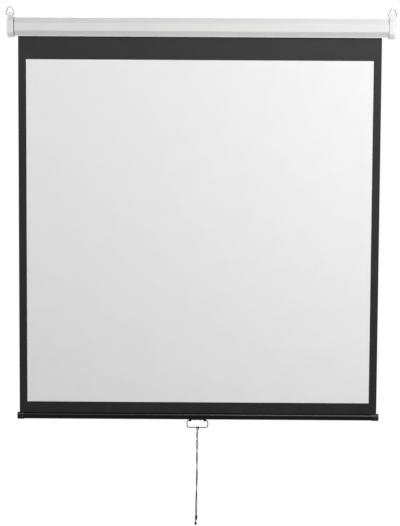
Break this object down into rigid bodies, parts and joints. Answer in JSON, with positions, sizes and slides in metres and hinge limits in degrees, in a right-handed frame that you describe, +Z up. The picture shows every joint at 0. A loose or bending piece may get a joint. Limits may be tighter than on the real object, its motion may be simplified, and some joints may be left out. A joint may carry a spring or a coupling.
{
  "type": "pull-down projection screen",
  "caption": "Pull-down projection screen: white cloth with a black border on a spring roller in an eight-sided casing, with wire hangers, a bottom bar, a wire handle and a pull cord.",
  "frame": {"origin": "midway between the two hangers, on the line through the inner tops of their loops, where the screen hangs", "axes": "+X to the right as seen from the front, +Y to the back, +Z up; the picture side faces -Y"},
  "size_m": [1.7192, 0.09, 2.3242],
  "materials": {
    "casing_paint": "satin white paint",
    "cap_plastic": "satin white moulding",
    "steel": "plain zinc-plated steel",
    "hanger_wire": "bright plated wire",
    "tube_metal": "plain drawn tube",
    "plug_plastic": "matte black moulding",
    "screen_cloth": "matte white coated cloth with a black border and back",
    "border_cloth": "matte black coated cloth",
    "bar_paint": "semi-gloss black paint",
    "bar_cap_plastic": "satin black moulding",
    "handle_wire": "black coated wire",
    "cord": "braided black cord"
  },
  "bodies": {
    "housing": {"casing_shell": "casing_paint", "end_cap_left": "cap_plastic", "end_cap_right": "cap_plastic", "cap_screws": "steel", "bearing_plate_left": "steel", "tang_plate_right": "steel", "plate_screws": "steel", "ratchet_wheel": "steel", "spindle": "steel", "torsion_spring": "steel", "spring_collar": "steel", "screen_fabric": "screen_cloth"},
    "roller": {"roller_tube": "tube_metal", "fabric_roll": "screen_cloth", "idle_plug": "plug_plastic", "idle_pin": "steel", "ratchet_head": "plug_plastic", "pawl_pins": "steel"},
    "pawl_upper": {"pawl_upper": "steel"},
    "pawl_lower": {"pawl_lower": "steel"},
    "bottom_bar": {"bottom_bar": "bar_paint", "bar_cap_left": "bar_cap_plastic", "bar_cap_right": "bar_cap_plastic", "hem_rod": "steel", "fabric_hem": "border_cloth", "handle_plate": "bar_paint", "handle_rivets": "steel"},
    "handle": {"handle_bail": "handle_wire"},
    "pull_cord": {"pull_cord": "cord", "cord_knot": "cord", "cord_end": "cord"},
    "hanger_left": {"hanger_left": "hanger_wire"},
    "hanger_right": {"hanger_right": "hanger_wire"}
  },
  "joints": [
    {"name": "screen_drop", "type": "slide", "parent": "housing", "child": "bottom_bar", "axis": [0, 0, 1], "range_m": [0, 1.676], "deforming": ["screen_fabric"]},
    {"name": "roller_turn", "type": "hinge", "parent": "housing", "child": "roller", "pos_m": [0, 0.012, -0.083], "axis": [1, 0, 0], "continuous": true},
    {"name": "pawl_upper_swing", "type": "hinge", "parent": "roller", "child": "pawl_upper", "pos_m": [0.822, 0.012, -0.069], "axis": [1, 0, 0], "range_deg": [0, 18]},
    {"name": "pawl_lower_swing", "type": "hinge", "parent": "roller", "child": "pawl_lower", "pos_m": [0.822, 0.012, -0.097], "axis": [1, 0, 0], "range_deg": [0, 18]},
    {"name": "handle_swing", "type": "hinge", "parent": "bottom_bar", "child": "handle", "pos_m": [-0.0071, -0.00755, -1.8405], "axis": [1, 0, 0], "range_deg": [-90, 90]},
    {"name": "cord_swing", "type": "hinge", "parent": "handle", "child": "pull_cord", "pos_m": [-0.0056, -0.00755, -1.8717], "axis": [1, 0, 0], "range_deg": [-90, 90]},
    {"name": "hanger_left_swing", "type": "hinge", "parent": "housing", "child": "hanger_left", "pos_m": [-0.84, 0, -0.032], "axis": [1, 0, 0], "range_deg": [-90, 90]},
    {"name": "hanger_right_swing", "type": "hinge", "parent": "housing", "child": "hanger_right", "pos_m": [0.84, 0, -0.032], "axis": [1, 0, 0], "range_deg": [-90, 90]}
  ],
  "couplings": [
    {"joint": "roller_turn", "follows": "screen_drop", "rad_per_m": -44.987},
    {"joint": "cord_swing", "follows": "handle_swing", "ratio": -1}
  ]
}
